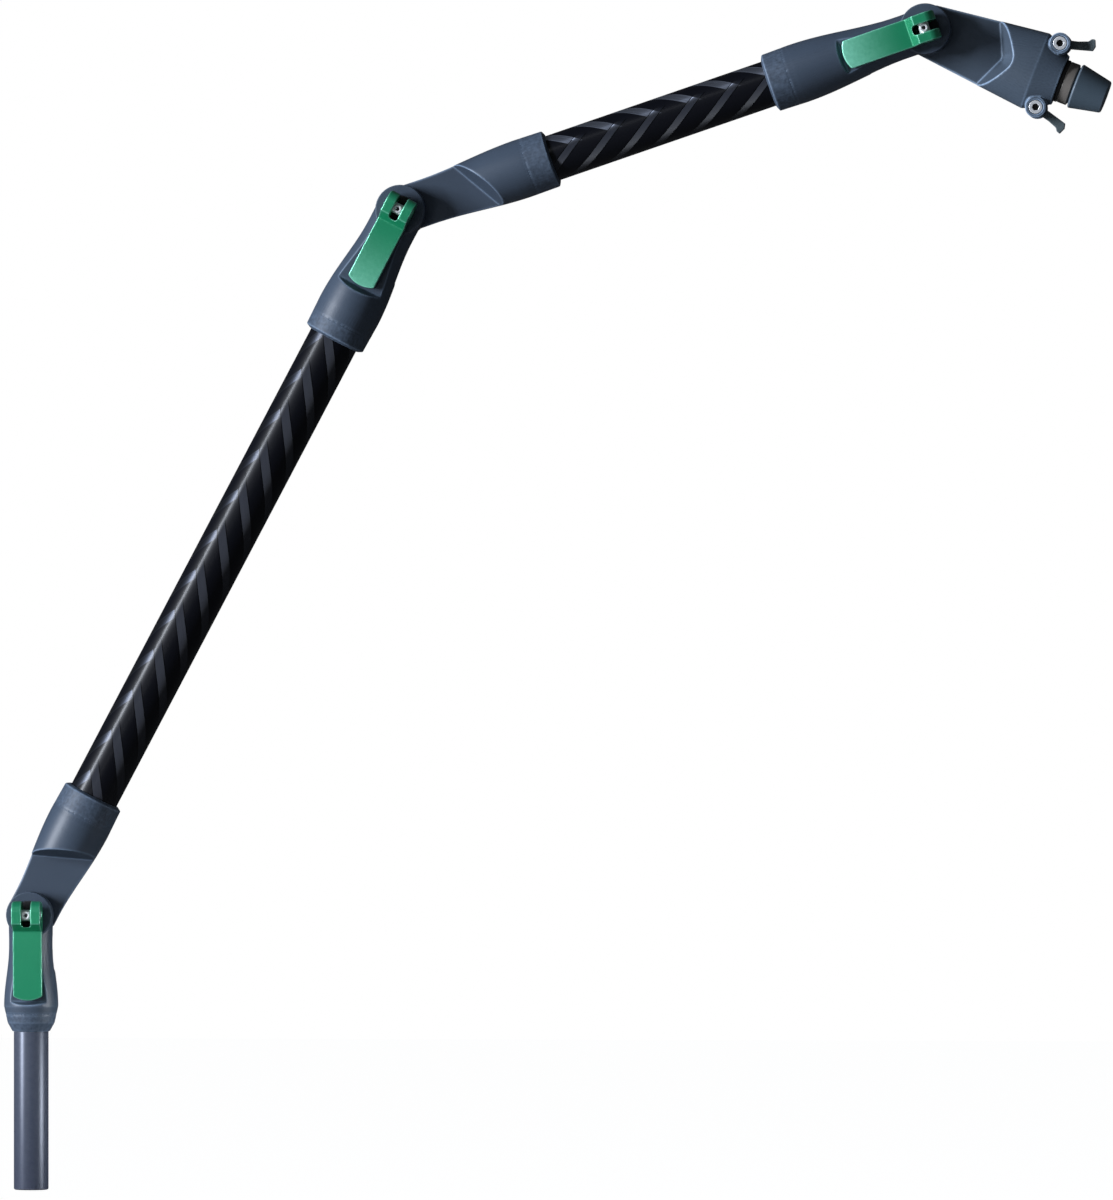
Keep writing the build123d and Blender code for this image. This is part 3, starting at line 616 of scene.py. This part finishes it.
def lathe(name, profile, arm, steps=96):
    """A turned shape: the profile's (radius, height) corners spun round an arm's axis."""
    shape = bmesh.new()
    rim = [shape.verts.new((radius, 0, height)) for radius, height in profile]
    edges = [shape.edges.new(pair) for pair in zip(rim, rim[1:] + rim[:1])]
    bmesh.ops.spin(shape, geom=rim + edges, cent=(0, 0, 0), axis=(0, 0, 1), angle=2 * math.pi,
                   steps=steps, use_merge=True)
    bmesh.ops.remove_doubles(shape, verts=shape.verts, dist=WELD)
    bmesh.ops.recalc_face_normals(shape, faces=shape.faces)
    sharp = [edge for edge in shape.edges
             if len(edge.link_faces) == 2 and edge.calc_face_angle() > SHARP_TURN]
    bmesh.ops.bevel(shape, geom=sharp, offset=EDGE_BREAK, segments=3, profile=0.5, affect="EDGES",
                    clamp_overlap=True, material=-1)
    bmesh.ops.transform(shape, matrix=arm, verts=shape.verts)
    return as_object(name, shape)


# %% [markdown]
# ## Knuckles and head
# These mouldings have soft edges everywhere. Rounding each edge by a bevel would leave knots
# where ramps, discs and sockets meet. An even skin over the whole shape, relaxed a little,
# rounds every edge the way a mould does, and ridges stay readable. The band round each mouth is
# rougher than the rest, so its vertices are marked by their distance along the arm.

# %% Knuckles and head
KNUCKLE_SKIN = 0.5 * MM
KNUCKLE_PASSES = 5
# strengths of the edge mask, which paints lighter edges, partly as wear and partly as highlight
KNUCKLE_WEAR_AND_HIGHLIGHT = 0.0020
HEAD_WEAR_AND_HIGHLIGHT = 0.0042
HOLLOW_HIGHLIGHT = 0.7         # painted highlight in an inside corner, as a share of a ridge's
GROOVE = 0.6 * MM
DISC_RIM = 16.5 * MM
DISC_FADE = 3 * MM
DISC_WEAR_AND_HIGHLIGHT = 0.15
# for each knuckle: its arm, the sign of its direction along it, its band's width, and its elbow
KNUCKLES = {"base_knuckle": (spigot_up, 1, 11 * MM, 0),
            "long_tube_lower_knuckle": (long_up, -1, 15 * MM, 0),
            "long_tube_upper_knuckle": (long_up, 1, 11 * MM, 1),
            "short_tube_lower_knuckle": (short_up, -1, 16 * MM, 1),
            "short_tube_upper_knuckle": (short_up, 1, 14 * MM, 2)}


def mark_band(mesh, arm, side, mouth, width):
    """Store the mask band: 1 from a knuckle's mouth to its groove."""
    inverse = np.array(arm.inverted())
    heights = vertex_places(mesh) @ inverse[2, :3] + inverse[2, 3]
    depth = (heights - mouth) * side
    store_mask(mesh, "band", (width - GROOVE - depth) / GROOVE)


def mark_worn_and_lit_edges(mesh, place, strength):
    """Mark edges as worn and as painted highlight, but far less on the disc, which the mating half shields."""
    places = vertex_places(mesh)
    off_axis = np.hypot(places[:, 0] - place.x, places[:, 2] - place.z)
    share = np.clip((off_axis - DISC_RIM) / DISC_FADE, DISC_WEAR_AND_HIGHLIGHT, 1)
    mark_edges(mesh, strength * share, HOLLOW_HIGHLIGHT)


# %% [markdown]
# The two discs of an elbow lock by radial teeth, which are finer than the skin can follow. So one
# tooth is drawn at the place of a tooth in the frame, its crest is broken by a bevel, and copies
# are spun round the elbow's pin. They join the knuckle's mesh after its edge wear and painted
# highlight are marked, because the teeth are shielded and stay as they were moulded.

# %% Lap teeth
TOOTH_COUNT = 24
TOOTH_HALF_WIDTH = 0.8 * MM
TOOTH_CREST = 0.15 * MM   # the crest's distance from the plane between the discs
TOOTH_FOOT = 1.05 * MM
TOOTH_ROOT = 1.45 * MM
CREST_BREAK = 0.1 * MM


def ring_of_teeth(pin, radial, inwards, inner, outer):
    """A bmesh of radial teeth round pin: the first runs along radial, and all stand on the side inwards."""
    tangent = radial.cross(inwards)
    profile = [(-TOOTH_HALF_WIDTH, TOOTH_ROOT), (TOOTH_HALF_WIDTH, TOOTH_ROOT),
               (TOOTH_HALF_WIDTH, TOOTH_FOOT), (0, TOOTH_CREST), (-TOOTH_HALF_WIDTH, TOOTH_FOOT)]
    tooth = bmesh.new()
    end = tooth.faces.new([tooth.verts.new(pin + radial * inner + tangent * along + inwards * deep)
                           for along, deep in profile])
    pulled = bmesh.ops.extrude_face_region(tooth, geom=[end])["geom"]
    bmesh.ops.translate(tooth, vec=radial * (outer - inner),
                        verts=[part for part in pulled if isinstance(part, bmesh.types.BMVert)])
    bmesh.ops.recalc_face_normals(tooth, faces=tooth.faces)
    crest = [edge for edge in tooth.edges
             if all(abs((corner.co - pin).dot(inwards) - TOOTH_CREST) < CLOSE_TO for corner in edge.verts)]
    bmesh.ops.bevel(tooth, geom=crest, offset=CREST_BREAK, segments=2, profile=0.5, affect="EDGES",
                    material=-1)
    bmesh.ops.spin(tooth, geom=tooth.verts[:] + tooth.edges[:] + tooth.faces[:], cent=pin, axis=(0, 1, 0),
                   angle=2 * math.pi * (TOOTH_COUNT - 1) / TOOTH_COUNT, steps=TOOTH_COUNT - 1,
                   use_duplicate=True)
    return tooth


def add_lap_teeth(piece, node, pin, side):
    """Join radial teeth to the inner face of a piece's disc, where its CAD node has them."""
    places = vertex_places(frame["nodes"][node].data) - np.array(pin, np.float32)
    off_axis = np.hypot(places[:, 0], places[:, 2])
    crests = (np.abs(places[:, 1] + side * TOOTH_CREST) < CLOSE_TO) & (off_axis < DISC_RIM + DISC_FADE)
    inner, outer = off_axis[crests].min(), off_axis[crests].max()
    crest_end = places[crests][off_axis[crests].argmax()]
    radial = Vector((crest_end[0], 0, crest_end[2])).normalized()
    teeth = bpy.data.meshes.new(node + "_teeth")
    ring = ring_of_teeth(pin, radial, Vector((0, -side, 0)), inner, outer)
    ring.to_mesh(teeth)
    ring.free()
    shape = bmesh.new()
    shape.from_mesh(piece.data)
    shape.from_mesh(teeth)
    shape.to_mesh(piece.data)
    shape.free()
    bpy.data.meshes.remove(teeth)
    print(node, "teeth from", round(float(inner) / MM, 2), "to", round(float(outer) / MM, 2), "mm")


# %% Finish the knuckles and the head
for node, (arm, side, width, number) in KNUCKLES.items():
    low, high = reach(node, arm)
    piece = moulded(node, KNUCKLE_SKIN, KNUCKLE_PASSES)
    mark_worn_and_lit_edges(piece.data, elbow[number], KNUCKLE_WEAR_AND_HIGHLIGHT)
    mark_band(piece.data, arm, side, low.z if side > 0 else high.z, width)
    add_lap_teeth(piece, node, elbow[number], side)
    stand_for(piece, node, knuckle_nylon)
head = moulded("head_housing", KNUCKLE_SKIN, KNUCKLE_PASSES)
mark_worn_and_lit_edges(head.data, elbow[2], HEAD_WEAR_AND_HIGHLIGHT)
add_lap_teeth(head, "head_housing", elbow[2], -1)
stand_for(head, "head_housing", head_nylon_lit_copy)

# %% [markdown]
# ## Levers
# Each lever is machined from bar, blasted and anodised green. Its edges are broken by tumbling,
# so they take the same even skin, on a finer grain. Its tip is painted a paler green as a
# highlight, strongest on the two upper levers, whose tips point towards the panel, and none on the
# lowest.

# %% Levers
LEVER_SKIN = 0.35 * MM
LEVER_PASSES = 6
LEVER_WEAR_AND_HIGHLIGHT = 0.0014
# painted highlight on each lever's tip, as a share of the edge colour
PAINTED_TIP_SHEEN = {1: 0.0, 2: 0.60, 3: 0.90}
TIP_SHEEN_FROM = 14 * MM
TIP_SHEEN_OVER = 40 * MM
TIP_SHEEN_CURVE = 1.5


def painted_tip_sheen(mesh, place, share):
    """How much paler each vertex's green is painted as a tip highlight, from nothing near the elbow to share at
    the tip.
    """
    places = vertex_places(mesh)
    off_axis = np.hypot(places[:, 0] - place.x, places[:, 2] - place.z)
    return share * np.clip((off_axis - TIP_SHEEN_FROM) / TIP_SHEEN_OVER, 0, 1) ** TIP_SHEEN_CURVE


for number in (1, 2, 3):
    lever = moulded(f"cam_lever_{number}", LEVER_SKIN, LEVER_PASSES)
    mark_edges(lever.data, LEVER_WEAR_AND_HIGHLIGHT, lift=painted_tip_sheen(lever.data, elbow[number - 1], PAINTED_TIP_SHEEN[number]))
    stand_for(lever, f"cam_lever_{number}", green_anodised)

# %% [markdown]
# ## Claws, cone and collars
# The claws and the cone are moulded, and the collars between the cone and the head are a rubber
# seal and a plated ring. They are small, so their skins are finer than the knuckles'.

# %% Claws, cone and collars
SMALL_SKIN = 0.3 * MM
SMALL_PASSES = 4
# strength of the lighter edges on small pieces: partly wear, partly painted highlight
SMALL_WEAR_AND_HIGHLIGHT = 0.0016
SMALL_PIECES = {"latch_claw_upper": ("claw", claw_nylon), "latch_claw_lower": ("claw", claw_nylon),
                "cone_spigot": ("cone", cone_nylon), "neck_seal": ("seal", black_rubber),
                "neck_ring": ("ring", grey_ring)}
for node, (slot, material) in SMALL_PIECES.items():
    piece = moulded(node, SMALL_SKIN, SMALL_PASSES)
    mark_edges(piece.data, SMALL_WEAR_AND_HIGHLIGHT)
    stand_for(piece, node, material)

# %% [markdown]
# ## Metal pieces
# Studs, barrels, screws, nuts and washers are zinc plated. The saddles under the cams are a
# near-black steel, which paints the shade on the floor of each lever's slot. The shade inside the
# sockets of the screws and studs is painted: the vertices that lie deep in a socket are marked as
# sunk, and the grain darkens them. The springs are already round, so the frame's own are shown.

# %% Metal pieces
SOCKET_DEPTH = 0.5 * MM
SCREW_SOCKET = 2.2 * MM
STUD_SOCKET = 1.2 * MM
HEX_SKIN = 0.16 * MM      # fine enough to keep the flats of a hexagon socket
BARREL_SKIN = 0.2 * MM
PLAIN_SKIN = 0.25 * MM
METAL_PASSES = 3
# strength of the lighter edges on metal pieces: partly wear, partly painted highlight
METAL_WEAR_AND_HIGHLIGHT = 0.0005


def mark_socket(mesh, radius):
    """Store the mask sunk, for painted shade: 1 inside a socket that opens towards the levers' side."""
    places = vertex_places(mesh)
    front = places[:, 1].min()
    centre = (places[:, (0, 2)].min(0) + places[:, (0, 2)].max(0)) / 2
    off_axis = np.hypot(places[:, 0] - centre[0], places[:, 2] - centre[1])
    deep = (places[:, 1] - front) / SOCKET_DEPTH
    store_mask(mesh, "sunk", np.where(off_axis < radius, deep, 0))


def metal_piece(node, grain, material, socket_radius=0.0):
    """A plated piece with broken edges, and painted shade in its socket if it has one."""
    piece = moulded(node, grain, METAL_PASSES)
    mark_edges(piece.data, METAL_WEAR_AND_HIGHLIGHT)
    if socket_radius:
        mark_socket(piece.data, socket_radius)
    stand_for(piece, node, material)


for place in ("upper", "lower"):
    metal_piece(f"latch_screw_{place}", HEX_SKIN, zinc_steel, SCREW_SOCKET)
    metal_piece(f"latch_nut_{place}", PLAIN_SKIN, zinc_steel)
for number in (1, 2, 3):
    metal_piece(f"clamp_stud_{number}", HEX_SKIN, zinc_steel, STUD_SOCKET)
    metal_piece(f"barrel_pin_{number}", BARREL_SKIN, zinc_steel)
    metal_piece(f"nut_washer_{number}", PLAIN_SKIN, zinc_steel)
    metal_piece(f"clamp_nut_{number}", PLAIN_SKIN, zinc_steel)
    metal_piece(f"cam_saddle_{number}", PLAIN_SKIN, slot_shade_steel)
for node, item in frame["nodes"].items():
    if "spring" in node:
        item.data.materials.clear()
        item.data.materials.append(zinc_steel)

# %% [markdown]
# ## Tubes
# Each tube is turned from its measured radius, bore and ends. The tapes follow a UV map that
# wraps round the tube, because a helix is a straight line on such a map.

# %% Tubes
TUBE_RINGS = 40


def wrap_uv(piece, arm):
    """U once round the tube, V in metres along it, with the seam kept inside one column of faces."""
    inverse = arm.inverted()
    layer = piece.data.uv_layers.new(name="wrap")
    for face in piece.data.polygons:
        centre = inverse @ face.center
        middle_turn = math.atan2(centre.y, centre.x) / (2 * math.pi)
        for loop in face.loop_indices:
            place = inverse @ piece.data.vertices[piece.data.loops[loop].vertex_index].co
            turn = math.atan2(place.y, place.x) / (2 * math.pi)
            turn += round(middle_turn - turn)
            layer.data[loop].uv = (turn, place.z)


def carbon_tube(node, arm, material):
    """A wound tube, from the CAD tube's measured radius, bore and ends."""
    low, high = reach(node, arm)
    bore, radius = radii_at(node, arm, high.z)
    profile = [(radius, low.z + (high.z - low.z) * step / TUBE_RINGS) for step in range(TUBE_RINGS + 1)]
    profile += [(bore, high.z), (bore, low.z)]
    piece = lathe(node + "_wound", profile, arm)
    wrap_uv(piece, arm)
    stand_for(piece, node, material)


# gleam sets each tube's painted glint on the lower tapes
long_carbon = wound_carbon("long_tube_carbon", tapes_round=5, axial_pitch=28.7 * MM, top_share=0.40,
                           gleam=0.06)
short_carbon = wound_carbon("short_tube_carbon", tapes_round=5, axial_pitch=26.4 * MM, top_share=0.33,
                            gleam=0.60)
carbon_tube("long_tube", long_up, long_carbon)
carbon_tube("short_tube", short_up, short_carbon)

# %% [markdown]
# ## Spigot
# The spigot is a drawn aluminium tube, turned down where it is bonded into the base knuckle and
# chamfered at its open end so that it finds the pole's bore.

# %% Spigot
LEAD_IN = 0.7 * MM
# strength of the lighter edges on the spigot: partly wear, partly painted highlight
SPIGOT_WEAR_AND_HIGHLIGHT = 0.0008
pole_mount = next(row for row in frame["record"]["mounts"] if row["name"] == "pole_spigot")
spigot_radius = pole_mount["dims"]["r_mm"] * MM
shoulder = pole_mount["dims"]["length_mm"] * MM
spigot_top = reach("base_spigot", spigot_up)[1].z
spigot_bore, shank_radius = radii_at("base_spigot", spigot_up, spigot_top)
spigot = lathe("spigot_turned", [
    (spigot_radius - LEAD_IN, 0), (spigot_radius, LEAD_IN), (spigot_radius, shoulder),
    (shank_radius, shoulder), (shank_radius, spigot_top), (spigot_bore, spigot_top), (spigot_bore, 0)],
    spigot_up)
mark_edges(spigot.data, SPIGOT_WEAR_AND_HIGHLIGHT)
stand_for(spigot, "base_spigot", spigot_anodised)
